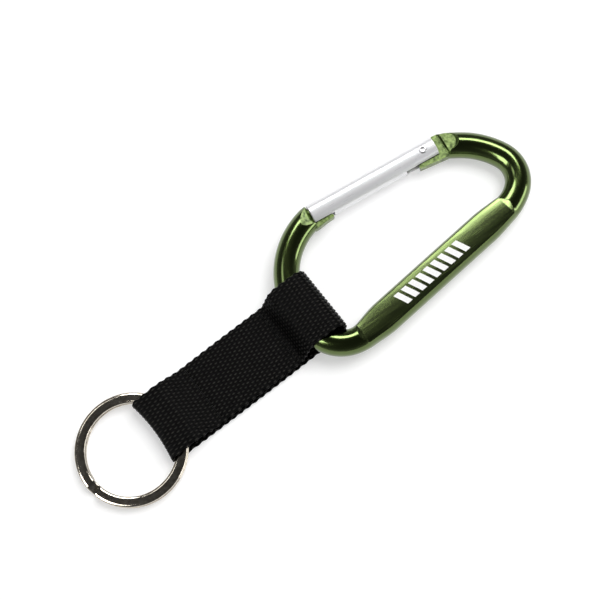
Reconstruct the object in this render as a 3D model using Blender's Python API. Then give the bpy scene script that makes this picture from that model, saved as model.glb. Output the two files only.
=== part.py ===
"""Carabiner keyring lying on a table.

A split ring, a short webbing strap sewn into a loop at each end, and an asymmetric D carabiner
with a sprung gate. +X runs from the split ring to the carabiner, +Y towards the gate, +Z up, and
the origin is under the middle of the whole object. Lengths are metres; MM turns millimetres
into metres.
"""

import math

import bmesh
import bpy
from mathutils import Matrix, Vector

MM = 0.001

# Where the drawing's own zero, the split ring's centre, lies in the object's frame.
RING_CENTRE_X = -60.97 * MM
STRAP_Y = -2.81 * MM

# Carabiner frame: a round rod bent to a chain of arcs, travelled from the nose to the hinge.
ROD_RADIUS = 3.75 * MM
NOSE_CENTRE = (79.36 * MM, 21.61 * MM)
NOSE_HEADING = math.radians(187.5)
BOW_CHAIN = (
    (34.9 * MM, 22.7 * MM),  # (length, bend radius); a radius of None is a straight
    (2.9 * MM, None),
    (15.9 * MM, 10.2 * MM),
    (52.6 * MM, None),
    (7.75 * MM, 13.5 * MM),
    (11.7 * MM, 9.15 * MM),
    (12.1 * MM, 23.0 * MM),
    (5.3 * MM, 44.3 * MM),
)
ARC_STEP = math.radians(7.5)
STRAIGHT_STEP = 4.0 * MM

# The spine is pressed flat on both faces, which spreads the rod sideways.
FLAT_START, FLAT_END = 52.6 * MM, 106.1 * MM
FLAT_WALL_START, FLAT_WALL_END = 1.4 * MM, 2.2 * MM
FLAT_HALF_HEIGHT = 2.8 * MM
SPREAD = 1.03 * MM
SPREAD_START, SPREAD_END = 50.5 * MM, 111.5 * MM
SPREAD_RAMP_START, SPREAD_RAMP_END = 10.5 * MM, 13.5 * MM
ROD_CAP_ANGLE = math.radians(60)
SIDE_POINTS = 7

# Gate: a bar drilled from the hinge end, forked at the nose, turning on a rivet.
RIVET = (116.4 * MM, 17.17 * MM)
GATE_HEADING = math.radians(-7.75)
GATE_RADIUS = 3.2 * MM
GATE_NOSE, GATE_HINGE_END = -36.95 * MM, 3.85 * MM
BORE_RADIUS, BORE_BOTTOM = 2.5 * MM, -19.0 * MM
SLOT_HALF_WIDTH = 1.35 * MM
FORK_BOTTOM = -30.6 * MM
HINGE_SLOT_END = -6.9 * MM
RIVET_RADIUS, RIVET_HOLE_RADIUS = 1.0 * MM, 1.06 * MM
RIVET_HEAD_RADIUS, RIVET_SEAT_RADIUS = 1.22 * MM, 1.3 * MM
RIVET_SEAT_Z = 2.95 * MM
GATE_FACETS = 32

# The frame's two flat tongues, drawn in the gate's own axes with the rivet at zero.
TONGUE_HALF_THICKNESS = 1.1 * MM
TANG_EYE_RADIUS = 2.0 * MM
SHOULDER_X, HINGE_FLAT_Y = 6.0 * MM, -1.1 * MM

# Plunger and spring inside the gate.
PLUNGER_FACE = -3.15 * MM
PLUNGER_LENGTH, PLUNGER_RADIUS = 2.9 * MM, 2.35 * MM
NIPPLE_LENGTH, NIPPLE_RADIUS = 1.8 * MM, 1.4 * MM
SPRING_WIRE_RADIUS, SPRING_COIL_RADIUS, SPRING_TURNS = 0.27 * MM, 1.95 * MM, 8
SPRING_START_GAP, SPRING_TRAVEL_ROOM = 0.15 * MM, 2.2 * MM

# Webbing strap: one strip, doubled, with a third layer in the sewn middle.
WEB_WIDTH, WEB_THICKNESS = 20.0 * MM, 1.2 * MM
BLOCK_HEIGHT = 3 * WEB_THICKNESS
BEND_CARABINER_X, BEND_RING_X = 53.4 * MM, 22.9 * MM
BEND_LIMIT = math.radians(60)
BEND_GAP = 0.15 * MM
FOLD_CARABINER_X, FOLD_RING_X = 68.3 * MM, 8.5 * MM
SWING_X = 61.2 * MM
LOOP_HALF_HEIGHT = 4.45 * MM
ROD_AXIS_Z = WEB_THICKNESS + LOOP_HALF_HEIGHT

# Stitching: a needle thread on top of each seam and a bobbin thread under it.
SEAM_INSET = 1.9 * MM
THREAD_RADIUS = 0.24 * MM
STITCHES, STITCH_LENGTH = 7, 2.55 * MM
THREAD_WAVE = 0.1 * MM
GROOVE_HALF_WIDTH, GROOVE_DEPTH = 0.45 * MM, 0.75 * MM

# Split ring: flat wire wound twice round, with a crank where one turn steps over the other.
RING_OUTER_RADIUS, RING_INNER_RADIUS = 16.0 * MM, 13.05 * MM
COIL_HEIGHT, COIL_GAP = 1.42 * MM, 0.16 * MM
WIRE_CHAMFER = 0.35 * MM
CRANK_ANGLE = math.radians(-172)
RAMP_SWEEP, END_CLEARANCE = math.radians(11), math.radians(2.5)
COIL_STEP = math.radians(7.5)
RING_PASS_GAP = 0.25 * MM

# The carabiner leans on the strap under its bow, and the ring on the strap through it.
FRAME_TILT = math.asin((ROD_AXIS_Z - ROD_RADIUS) / (134.2 * MM - SWING_X))
RING_HALF_HEIGHT = COIL_HEIGHT + COIL_GAP / 2
RING_IN_LOOP_X = 12.0 * MM
RING_TILT = math.asin(
    (WEB_THICKNESS + RING_PASS_GAP) / (RING_IN_LOOP_X + RING_OUTER_RADIUS)
)


def clear_scene():
    for item in list(bpy.data.objects):
        bpy.data.objects.remove(item)


def smoothstep(value):
    value = min(max(value, 0.0), 1.0)
    return value * value * (3 - 2 * value)


def mix(first, second, share):
    return first + (second - first) * share


def finish(name, color, metallic, roughness):
    material = bpy.data.materials.new(name)
    material.use_nodes = True
    shader = material.node_tree.nodes["Principled BSDF"]
    shader.inputs["Base Color"].default_value = (*color, 1.0)
    shader.inputs["Metallic"].default_value = metallic
    shader.inputs["Roughness"].default_value = roughness
    return material


def add_object(name, mesh, material=None, parent=None):
    item = bpy.data.objects.new(name, mesh)
    bpy.context.scene.collection.objects.link(item)
    if material:
        mesh.materials.append(material)
    item.parent = parent
    return item


def add_empty(name, location, rotation=(0, 0, 0), parent=None):
    item = bpy.data.objects.new(name, None)
    bpy.context.scene.collection.objects.link(item)
    item.location = location
    item.rotation_euler = rotation
    item.parent = parent
    return item


def mesh_of(name, vertices, faces, sharp_angle=math.radians(35)):
    mesh = bpy.data.meshes.new(name)
    mesh.from_pydata([tuple(v) for v in vertices], [], faces)
    shape = bmesh.new()
    shape.from_mesh(mesh)
    bmesh.ops.recalc_face_normals(shape, faces=shape.faces)
    shape.to_mesh(mesh)
    shape.free()
    mesh.shade_smooth()
    mesh.set_sharp_from_angle(angle=sharp_angle)
    return mesh


def tube_mesh(name, rings, closed=False):
    """A skin over rings of equal length. Open ends are capped."""
    count = len(rings[0])
    vertices = [point for ring in rings for point in ring]
    faces = []
    for row in range(len(rings) if closed else len(rings) - 1):
        low = row * count
        high = (row + 1) % len(rings) * count
        for i in range(count):
            j = (i + 1) % count
            faces.append((low + i, low + j, high + j, high + i))
    if not closed:
        faces.append(tuple(reversed(range(count))))
        faces.append(tuple(range(len(vertices) - count, len(vertices))))
    return mesh_of(name, vertices, faces)


def prism_mesh(name, outline, low, high):
    """A flat outline in X and Y, extruded along Z."""
    return tube_mesh(name, [[(x, y, z) for x, y in outline] for z in (low, high)])


def turned_mesh(name, profile, facets):
    """A solid turned about X from its (x, radius) profile."""
    rings = []
    for x, radius in profile:
        turns = [2 * math.pi * i / facets for i in range(facets)]
        rings.append([(x, radius * math.cos(t), radius * math.sin(t)) for t in turns])
    return tube_mesh(name, rings)


def helper(name, mesh, parent):
    item = add_object(name, mesh, parent=parent)
    item.hide_render = True
    item.display_type = "WIRE"
    return item


def boolean(item, other, operation):
    modifier = item.modifiers.new(other.name, "BOOLEAN")
    modifier.operation = operation
    modifier.solver = "EXACT"
    modifier.object = other


# --- carabiner frame ---


def bow_stations():
    """(x, y, heading, distance along the rod) for each ring of the frame's skin."""
    x, y = NOSE_CENTRE
    heading = NOSE_HEADING
    along = 0.0
    stations = [(x, y, heading, along)]
    for length, radius in BOW_CHAIN:
        turn = length / radius if radius else 0.0
        steps = math.ceil(turn / ARC_STEP) if radius else math.ceil(length / STRAIGHT_STEP)
        for _ in range(steps):
            middle = heading + turn / steps / 2
            chord = 2 * radius * math.sin(turn / steps / 2) if radius else length / steps
            x += chord * math.cos(middle)
            y += chord * math.sin(middle)
            heading += turn / steps
            along += length / steps
            stations.append((x, y, heading, along))
    return stations


def rod_half_width(along):
    rise = smoothstep((along - SPREAD_START) / SPREAD_RAMP_START)
    fall = smoothstep((SPREAD_END - along) / SPREAD_RAMP_END)
    return ROD_RADIUS + SPREAD * rise * fall


def roundness(along):
    """1 where the rod is round, 0 where it is pressed flat."""
    before = (FLAT_START - along) / FLAT_WALL_START
    after = (along - FLAT_END) / FLAT_WALL_END
    return min(max(before, after, 0.0), 1.0)


def rod_section(along):
    """The section's outline as (sideways, up), starting at the lower edge of the outer side."""
    half_width = rod_half_width(along)
    share = roundness(along)
    flat_edge = math.sqrt(ROD_RADIUS**2 - FLAT_HALF_HEIGHT**2)
    flat_edge += (half_width - ROD_RADIUS) * 1.17
    cap_edge = half_width - ROD_RADIUS * (1 - math.cos(ROD_CAP_ANGLE))
    edge = mix(flat_edge, cap_edge, share)
    height = mix(FLAT_HALF_HEIGHT, ROD_RADIUS * math.sin(ROD_CAP_ANGLE), share)
    crown = (ROD_RADIUS - ROD_RADIUS * math.sin(ROD_CAP_ANGLE)) * share
    bulge = half_width - edge
    side_radius = (bulge**2 + height**2) / (2 * bulge)
    side_angle = math.asin(height / side_radius)
    side = []
    for i in range(SIDE_POINTS):
        angle = mix(-side_angle, side_angle, i / (SIDE_POINTS - 1))
        offset = half_width - side_radius * (1 - math.cos(angle))
        side.append((offset, side_radius * math.sin(angle)))
    top = [(edge / 2, height + crown * 0.74), (0.0, height + crown), (-edge / 2, height + crown * 0.74)]
    half = side + top
    return half + [(-u, -v) for u, v in half]


def frame_rod_mesh():
    rings = []
    stations = bow_stations()
    extra = [FLAT_START - FLAT_WALL_START, FLAT_START, FLAT_END, FLAT_END + FLAT_WALL_END]
    for distance in extra:
        stations.append(station_at(stations, distance))
    stations.sort(key=lambda station: station[3])
    kept = [stations[0]]
    for station in stations[1:]:
        near = station[3] - kept[-1][3] < 0.8 * MM
        if not near:
            kept.append(station)
        elif station[3] in extra:
            kept[-1] = station
    face_heading = GATE_HEADING + math.pi
    for index, (x, y, heading, along) in enumerate(kept):
        if index in (0, len(kept) - 1):
            heading = face_heading
        side = Vector((math.sin(heading), -math.cos(heading), 0))
        centre = Vector((x, y, 0))
        rings.append([centre + side * u + Vector((0, 0, v)) for u, v in rod_section(along)])
    return tube_mesh("carabiner_frame", rings)


def station_at(stations, distance):
    for first, second in zip(stations, stations[1:]):
        if first[3] <= distance <= second[3] and second[3] > first[3]:
            share = (distance - first[3]) / (second[3] - first[3])
            heading = mix(first[2], second[2], share)
            middle = (first[2] + heading) / 2
            reach = distance - first[3]
            x = first[0] + reach * math.cos(middle)
            y = first[1] + reach * math.sin(middle)
            return (x, y, heading, distance)
    raise ValueError(f"no station at {distance}")


def arc(centre, radius, start, end, steps):
    points = []
    for i in range(steps + 1):
        angle = math.radians(mix(start, end, i / steps))
        points.append((centre[0] + radius * math.cos(angle), centre[1] + radius * math.sin(angle)))
    return points


def tang_outline():
    """The hinge tang: an eye round the rivet, and a finger under the gate that pushes the plunger."""
    eye = arc((0, 0), TANG_EYE_RADIUS, 90, 215, 8)
    finger = [(-3.0, -3.35), (-3.05, -4.1), (1.2, -4.5), (5.6, -4.95), (7.6, -4.2)]
    root = [(7.4, 1.8), (6.2, 2.6), (4.3, 2.75), (4.3, 2.0)]
    return eye + [(x * MM, y * MM) for x, y in finger + root]


def tongue_outline():
    """The nose tongue: a tapered finger that the gate's fork closes over."""
    inner_edge = [(-38.7, -4.1), (-37.5, -4.7), (-36.3, -4.6), (-34.1, -4.2), (-31.5, -3.95)]
    outer_edge = [(-31.2, -3.75), (-31.25, -3.35), (-36.4, 1.9), (-38.7, 1.9)]
    return [(x * MM, y * MM) for x, y in inner_edge + outer_edge]


def nose_notch_mesh():
    """A wedge sunk behind a thin lip at the nose; its floor slopes up along the arm."""
    chord_x, run, low, top = -37.95 * MM, 2.6 * MM, 2.6 * MM, 4.6 * MM
    outline = [(chord_x, low), (chord_x, top), (chord_x - run, top)]
    reach = 5.0 * MM
    return tube_mesh("nose_notch", [[(x, y, z) for x, z in outline] for y in (-reach, reach)])


def hinge_flat_mesh():
    """A milled flat next to the shoulder, with a round end and a flank that leans out."""
    rings = []
    for z, radius in ((2.25 * MM, 2.6 * MM), (4.0 * MM, 3.7 * MM)):
        outline = arc((SHOULDER_X + 1.3 * MM, HINGE_FLAT_Y), radius, -90, 90, 12)
        outline += [(SHOULDER_X - 1.0 * MM, HINGE_FLAT_Y + radius + 1.5 * MM)]
        outline += [(SHOULDER_X - 1.0 * MM, HINGE_FLAT_Y - radius - 1.5 * MM)]
        rings.append([(x, y, z) for x, y in outline])
    return tube_mesh("hinge_flat", rings)


def shoulder_chamfer_mesh():
    """A wedge off the shoulder, between the tang's face and the milled flat."""
    outline = [(-1.0, 1.35), (0.1, 1.35), (0.65, 2.45), (-1.0, 2.45)]
    reach = 6.0 * MM
    rings = [[(SHOULDER_X + x * MM, y, z * MM) for x, z in outline] for y in (-reach, reach)]
    return tube_mesh("shoulder_chamfer", rings)


def build_frame(pose, gate_axes, material):
    frame = add_object("carabiner_frame", frame_rod_mesh(), material, pose)
    thickness = TONGUE_HALF_THICKNESS
    tang = helper("tang", prism_mesh("tang", tang_outline(), -thickness, thickness), gate_axes)
    tongue = helper("tongue", prism_mesh("tongue", tongue_outline(), -thickness, thickness), gate_axes)
    hole = helper("tang_hole", rivet_hole_mesh("tang_hole", RIVET_HOLE_RADIUS, -2 * thickness, 2 * thickness), gate_axes)
    notches = []
    for mesh in (nose_notch_mesh(), hinge_flat_mesh(), shoulder_chamfer_mesh()):
        front = helper(f"{mesh.name}_front", mesh, gate_axes)
        back = helper(f"{mesh.name}_back", mesh, gate_axes)
        back.rotation_euler = (math.pi, 0, 0)
        back.location.y = 2 * HINGE_FLAT_Y
        notches += [front, back]
    for cutter in notches:
        boolean(frame, cutter, "DIFFERENCE")
    boolean(frame, tang, "UNION")
    boolean(frame, tongue, "UNION")
    boolean(frame, hole, "DIFFERENCE")


# --- gate ---


def rivet_hole_mesh(name, radius, low, high):
    """A round cutter along Z at the rivet."""
    return prism_mesh(name, arc((0, 0), radius, 0, 360 - 360 / 24, 23), low, high)


def box_mesh(name, low, high):
    outline = [(low[0], low[1]), (high[0], low[1]), (high[0], high[1]), (low[0], high[1])]
    return prism_mesh(name, outline, low[2], high[2])


def build_gate(axes, material):
    chamfer = 0.25 * MM
    body = [
        (GATE_NOSE, GATE_RADIUS - chamfer),
        (GATE_NOSE + chamfer, GATE_RADIUS),
        (GATE_HINGE_END - chamfer, GATE_RADIUS),
        (GATE_HINGE_END, GATE_RADIUS - chamfer),
    ]
    gate = add_object("gate", turned_mesh("gate", body, GATE_FACETS), material, axes)
    bore = turned_mesh("gate_bore", [(BORE_BOTTOM, BORE_RADIUS), (5 * MM, BORE_RADIUS)], GATE_FACETS)
    over = GATE_RADIUS + 1 * MM
    fork_low = (GATE_NOSE - 1 * MM, -over, -SLOT_HALF_WIDTH)
    fork_high = (FORK_BOTTOM, over, SLOT_HALF_WIDTH)
    slot_low = (HINGE_SLOT_END, -over, -SLOT_HALF_WIDTH)
    slot_high = (GATE_HINGE_END + 1 * MM, 0.0, SLOT_HALF_WIDTH)
    cutters = (
        bore,
        box_mesh("gate_fork", fork_low, fork_high),
        box_mesh("gate_slot", slot_low, slot_high),
        rivet_hole_mesh("gate_rivet_hole", RIVET_HOLE_RADIUS, -over, over),
        rivet_hole_mesh("gate_rivet_seat_front", RIVET_SEAT_RADIUS, RIVET_SEAT_Z, over),
        rivet_hole_mesh("gate_rivet_seat_back", RIVET_SEAT_RADIUS, -over, -RIVET_SEAT_Z),
    )
    for mesh in cutters:
        boolean(gate, helper(mesh.name, mesh, axes), "DIFFERENCE")


def build_rivet(axes, material):
    """A pin with a low head peened over at each end, each with a dimple."""
    seat = RIVET_SEAT_Z + 0.05 * MM
    crown = [(0.2, 1.0), (0.31, 0.8), (0.34, 0.55), (0.2, 0.2)]
    half = [(seat, RIVET_RADIUS), (seat, RIVET_HEAD_RADIUS)]
    half += [(seat + rise * MM, share * RIVET_HEAD_RADIUS) for rise, share in crown]
    profile = [(-x, r) for x, r in reversed(half)] + half
    rivet = add_object("gate_rivet", turned_mesh("gate_rivet", profile, 24), material, axes)
    rivet.rotation_euler = (0, math.radians(-90), 0)


def build_plunger(axes, material):
    back = PLUNGER_FACE - PLUNGER_LENGTH
    edge = 0.35 * MM
    profile = [
        (back - NIPPLE_LENGTH, NIPPLE_RADIUS - edge),
        (back - NIPPLE_LENGTH + edge, NIPPLE_RADIUS),
        (back, NIPPLE_RADIUS),
        (back, PLUNGER_RADIUS),
        (PLUNGER_FACE - edge, PLUNGER_RADIUS),
        (PLUNGER_FACE, PLUNGER_RADIUS - edge),
    ]
    add_object("spring_plunger", turned_mesh("spring_plunger", profile, 24), material, axes)


def build_spring(axes, material):
    """A coil behind the plunger's shoulder, with room to travel before the bottom of the bore."""
    start = PLUNGER_FACE - PLUNGER_LENGTH - SPRING_START_GAP - SPRING_WIRE_RADIUS
    end = BORE_BOTTOM + SPRING_TRAVEL_ROOM + SPRING_WIRE_RADIUS
    steps = SPRING_TURNS * 12
    rings = []
    for i in range(steps + 1):
        turn = 2 * math.pi * SPRING_TURNS * i / steps
        outward = Vector((0, math.cos(turn), math.sin(turn)))
        centre = Vector((mix(start, end, i / steps), 0, 0)) + outward * SPRING_COIL_RADIUS
        ring = []
        for j in range(6):
            angle = 2 * math.pi * j / 6
            offset = outward * math.cos(angle) + Vector((1, 0, 0)) * math.sin(angle)
            ring.append(centre + offset * SPRING_WIRE_RADIUS)
        rings.append(ring)
    add_object("gate_spring", tube_mesh("gate_spring", rings), material, axes)


# --- webbing strap ---


def band_mesh(name, outer, inner):
    """A closed band of webbing: outer and inner are matching outlines in X and Z."""
    half = WEB_WIDTH / 2
    rings = []
    for (ox, oz), (ix, iz) in zip(outer, inner):
        rings.append([(ox, -half, oz), (ox, half, oz), (ix, half, iz), (ix, -half, iz)])
    return tube_mesh(name, rings, closed=True)


def bend_setback():
    """How far each end is cut back at the surface, so that the strap can fold to its limit."""
    return BLOCK_HEIGHT / 2 * math.tan(BEND_LIMIT / 2) + BEND_GAP


def carabiner_loop_outlines():
    """The loop round the carabiner: flat underneath, rising steeply from the seam over the rod."""
    tip = BEND_CARABINER_X + BEND_GAP
    shoulder = BEND_CARABINER_X + bend_setback()
    rod_x, rod_z = 59.65 * MM, ROD_AXIS_Z
    clear = LOOP_HALF_HEIGHT
    fold_radius = 3.2 * MM
    fold_x = FOLD_CARABINER_X - WEB_THICKNESS - fold_radius
    low_z, high_z = WEB_THICKNESS + fold_radius, ROD_AXIS_Z + clear - fold_radius
    inner = [(shoulder + 1.0 * MM, WEB_THICKNESS)]
    inner += arc((fold_x, low_z), fold_radius, -90, 0, 5)
    inner += arc((fold_x, high_z), fold_radius, 0, 90, 5)
    inner += arc((rod_x, rod_z), clear, 90, 148, 6)
    inner += [(shoulder + 0.55 * MM, 2.7 * MM)]
    reach = fold_radius + WEB_THICKNESS
    outer = [(shoulder, 0.0)]
    outer += arc((fold_x, low_z), reach, -90, 0, 5)
    outer += arc((fold_x, high_z), reach, 0, 90, 5)
    outer += arc((rod_x, rod_z), clear + WEB_THICKNESS, 90, 148, 6)
    outer += [(shoulder, BLOCK_HEIGHT)]
    outer += [(tip, BLOCK_HEIGHT / 2)]
    inner += [(shoulder + 0.5 * MM, 1.8 * MM)]
    return outer, inner


def ring_loop_outlines():
    """The loop through the split ring: two layers that part just enough for the wire."""
    tip = BEND_RING_X - BEND_GAP
    shoulder = BEND_RING_X - bend_setback()
    fold_radius = 0.9 * MM
    top = 2 * WEB_THICKNESS + 2 * RING_HALF_HEIGHT + 2 * RING_PASS_GAP + 0.35 * MM
    inner_top = top - WEB_THICKNESS
    fold_x = FOLD_RING_X + WEB_THICKNESS + fold_radius
    low_z, high_z = WEB_THICKNESS + fold_radius, inner_top - fold_radius
    reach = fold_radius + WEB_THICKNESS
    inner = [(shoulder - 2.0 * MM, WEB_THICKNESS)]
    inner += arc((fold_x, low_z), fold_radius, 270, 180, 4)
    inner += arc((fold_x, high_z), fold_radius, 180, 90, 4)
    inner += [(16.6 * MM, inner_top), (shoulder - 2.4 * MM, 2.75 * MM), (shoulder - 1.9 * MM, 1.9 * MM)]
    outer = [(shoulder, 0.0)]
    outer += arc((fold_x, low_z), reach, 270, 180, 4)
    outer += arc((fold_x, high_z), reach, 180, 90, 4)
    outer += [(16.6 * MM, top), (shoulder, BLOCK_HEIGHT), (tip, BLOCK_HEIGHT / 2)]
    return outer, inner


def middle_outline():
    setback = bend_setback()
    left, right = BEND_RING_X, BEND_CARABINER_X
    half = BLOCK_HEIGHT / 2
    outline = [(left + BEND_GAP, half), (left + setback, 0.0)]
    outline += grooved_edge(left + setback, right - setback, 0.0, 1)
    outline += [(right - setback, 0.0), (right - BEND_GAP, half), (right - setback, BLOCK_HEIGHT)]
    outline += reversed(grooved_edge(left + setback, right - setback, BLOCK_HEIGHT, -1))
    outline += [(left + setback, BLOCK_HEIGHT)]
    return outline


def seam_positions():
    return (BEND_RING_X + bend_setback() + SEAM_INSET / 2, BEND_CARABINER_X - bend_setback() - SEAM_INSET / 2)


def grooved_edge(low_x, high_x, z, inward):
    """One long edge of the sewn block, with the groove that each seam pulls into the webbing."""
    points = []
    for x in seam_positions():
        points += [(x - GROOVE_HALF_WIDTH, z), (x - GROOVE_HALF_WIDTH, z + inward * GROOVE_DEPTH)]
        points += [(x + GROOVE_HALF_WIDTH, z + inward * GROOVE_DEPTH), (x + GROOVE_HALF_WIDTH, z)]
    return [point for point in points if low_x < point[0] < high_x]


def build_strap(base, pass_cutter, material):
    outer, inner = carabiner_loop_outlines()
    add_object("webbing_carabiner_loop", band_mesh("webbing_carabiner_loop", outer, inner), material, base)
    half = WEB_WIDTH / 2
    rings = [[(x, y, z) for x, z in middle_outline()] for y in (-half, half)]
    add_object("webbing_sewn_middle", tube_mesh("webbing_sewn_middle", rings), material, base)
    outer, inner = ring_loop_outlines()
    loop = add_object("webbing_ring_loop", band_mesh("webbing_ring_loop", outer, inner), material, base)
    boolean(loop, pass_cutter, "DIFFERENCE")


def thread_mesh(name):
    """One row of lockstitch along Y: it dips at each needle hole and rises between two."""
    steps = STITCHES * 4
    rings = []
    for i in range(steps + 1):
        y = (i / steps - 0.5) * STITCHES * STITCH_LENGTH
        rise = THREAD_WAVE * math.cos(2 * math.pi * i / 4)
        ring = []
        for j in range(6):
            angle = 2 * math.pi * j / 6
            ring.append((THREAD_RADIUS * math.cos(angle), y, THREAD_RADIUS * math.sin(angle) - rise))
        rings.append(ring)
    return tube_mesh(name, rings)


def build_threads(base, material):
    needle_mesh = thread_mesh("needle_thread")
    needle_mesh.materials.append(material)
    depth = GROOVE_DEPTH - THREAD_RADIUS - THREAD_WAVE - 0.05 * MM
    for x, seam in zip(seam_positions(), ("ring_seam", "carabiner_seam")):
        needle = add_object(f"{seam}_needle_thread", needle_mesh, parent=base)
        needle.location = (x, 0, BLOCK_HEIGHT - depth)
        bobbin = add_object(f"{seam}_bobbin_thread", needle_mesh, parent=base)
        bobbin.location = (x, 0, depth)
        bobbin.rotation_euler = (0, math.pi, 0)


# --- split ring ---


def wire_section():
    """The flat wire's outline as (outward, up), with chamfered edges."""
    half_width = (RING_OUTER_RADIUS - RING_INNER_RADIUS) / 2
    half_height = COIL_HEIGHT / 2
    cut = WIRE_CHAMFER
    corners = []
    for u, v in ((1, -1), (1, 1), (-1, 1), (-1, -1)):
        long_side = (u * half_width, v * (half_height - cut))
        short_side = (u * (half_width - cut), v * half_height)
        corners += [long_side, short_side] if u * v > 0 else [short_side, long_side]
    return corners


def coil_height_at(sweep):
    """The wire runs round on top, down the crank at one full turn, and round again underneath."""
    level = (COIL_HEIGHT + COIL_GAP) / 2
    share = (sweep - 2 * math.pi) / RAMP_SWEEP + 0.5
    return mix(level, -level, smoothstep(share))


def build_ring(pose, material):
    start = RAMP_SWEEP / 2 + END_CLEARANCE
    end = 4 * math.pi - start
    steps = math.ceil((end - start) / COIL_STEP)
    sweeps = {mix(start, end, i / steps) for i in range(steps + 1)}
    ramp_low = 2 * math.pi - RAMP_SWEEP / 2
    sweeps = {sweep for sweep in sweeps if not 0 < sweep - ramp_low < RAMP_SWEEP}
    sweeps |= {ramp_low + RAMP_SWEEP * i / 6 for i in range(7)}
    middle = (RING_OUTER_RADIUS + RING_INNER_RADIUS) / 2
    section = wire_section()
    rings = []
    for sweep in sorted(sweeps):
        angle = CRANK_ANGLE + sweep
        outward = Vector((math.cos(angle), math.sin(angle), 0))
        height = coil_height_at(sweep)
        rings.append([outward * (middle + u) + Vector((0, 0, height + v)) for u, v in section])
    add_object("split_ring", tube_mesh("split_ring", rings), material, pose)


def ring_pass_cutter(pose):
    """The room that the turning ring needs through the strap's end loop."""
    gap = RING_PASS_GAP
    radii = (RING_INNER_RADIUS - gap, RING_OUTER_RADIUS + gap)
    height = RING_HALF_HEIGHT + gap
    rings = []
    for i in range(96):
        angle = 2 * math.pi * i / 96
        outward = Vector((math.cos(angle), math.sin(angle), 0))
        ring = []
        for radius, z in ((radii[0], -height), (radii[1], -height), (radii[1], height), (radii[0], height)):
            ring.append(outward * radius + Vector((0, 0, z)))
        rings.append(ring)
    return helper("ring_pass", tube_mesh("ring_pass", rings, closed=True), pose)


def main():
    clear_scene()
    green = finish("green_anodised_aluminium", (0.10, 0.17, 0.03), 0.9, 0.25)
    silver = finish("satin_aluminium", (0.80, 0.80, 0.82), 1.0, 0.35)
    steel = finish("rivet_steel", (0.62, 0.62, 0.63), 1.0, 0.3)
    spring_steel = finish("spring_steel", (0.45, 0.45, 0.46), 1.0, 0.35)
    nylon = finish("natural_nylon", (0.85, 0.84, 0.80), 0.0, 0.5)
    webbing = finish("black_webbing", (0.012, 0.012, 0.013), 0.0, 0.85)
    thread = finish("black_thread", (0.02, 0.02, 0.02), 0.0, 0.7)
    nickel = finish("nickel_plate", (0.66, 0.62, 0.56), 1.0, 0.15)

    drawing = add_empty("drawing_zero", (RING_CENTRE_X, STRAP_Y, 0))
    swing = add_empty("strap_swing_axis", (SWING_X, 0, ROD_AXIS_Z), (0, FRAME_TILT, 0), drawing)
    frame_axes = add_empty("frame_axes", (-SWING_X, 0, 0), parent=swing)
    gate_axes = add_empty("gate_hinge_axis", (*RIVET, 0), (0, 0, GATE_HEADING), frame_axes)
    ring_z = RING_HALF_HEIGHT * math.cos(RING_TILT) + RING_OUTER_RADIUS * math.sin(RING_TILT)
    ring_axes = add_empty("ring_turn_axis", (0, 0, ring_z), (0, -RING_TILT, 0), drawing)

    build_frame(frame_axes, gate_axes, green)
    build_gate(gate_axes, silver)
    build_rivet(gate_axes, steel)
    build_plunger(gate_axes, nylon)
    build_spring(gate_axes, spring_steel)
    build_strap(drawing, ring_pass_cutter(ring_axes), webbing)
    build_threads(drawing, thread)
    build_ring(ring_axes, nickel)
    bpy.context.view_layer.update()


main()
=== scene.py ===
"""Looks of the carabiner keyring: camera, light, materials and finely modelled pieces.

Every piece is drawn in the same axes as the CAD. Lengths are metres; MM turns millimetres into
metres. The drawing's zero is the split ring's centre, and the strap runs from it along +X.
"""

import math

import bmesh
import bpy
import numpy as np
from mathutils import Matrix, Vector


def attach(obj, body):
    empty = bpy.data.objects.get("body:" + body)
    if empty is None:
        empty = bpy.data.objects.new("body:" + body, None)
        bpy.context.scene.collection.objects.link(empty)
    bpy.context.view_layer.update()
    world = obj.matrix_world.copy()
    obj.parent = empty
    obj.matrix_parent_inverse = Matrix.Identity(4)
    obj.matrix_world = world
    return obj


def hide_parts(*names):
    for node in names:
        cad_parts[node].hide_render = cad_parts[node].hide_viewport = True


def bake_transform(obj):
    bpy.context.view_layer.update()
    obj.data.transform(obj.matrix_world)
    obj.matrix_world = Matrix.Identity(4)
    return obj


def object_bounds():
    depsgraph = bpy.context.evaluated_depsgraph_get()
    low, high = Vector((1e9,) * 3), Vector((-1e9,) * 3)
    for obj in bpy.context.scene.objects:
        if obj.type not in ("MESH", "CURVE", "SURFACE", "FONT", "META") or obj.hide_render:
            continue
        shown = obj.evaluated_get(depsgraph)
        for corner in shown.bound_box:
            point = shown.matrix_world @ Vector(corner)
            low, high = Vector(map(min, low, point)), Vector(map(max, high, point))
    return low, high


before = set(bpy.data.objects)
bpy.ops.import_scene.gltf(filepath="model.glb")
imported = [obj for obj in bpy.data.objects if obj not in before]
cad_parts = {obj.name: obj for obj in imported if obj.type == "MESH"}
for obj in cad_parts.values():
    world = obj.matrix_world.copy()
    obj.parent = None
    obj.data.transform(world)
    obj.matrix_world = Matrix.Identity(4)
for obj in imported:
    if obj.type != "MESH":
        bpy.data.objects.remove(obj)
cad_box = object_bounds()

MM = 0.001
SHARP = math.radians(20)

# Where the drawing's zero lies in the object's frame.
RING_CENTRE_X, STRAP_Y = -60.97 * MM, -2.81 * MM

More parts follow.
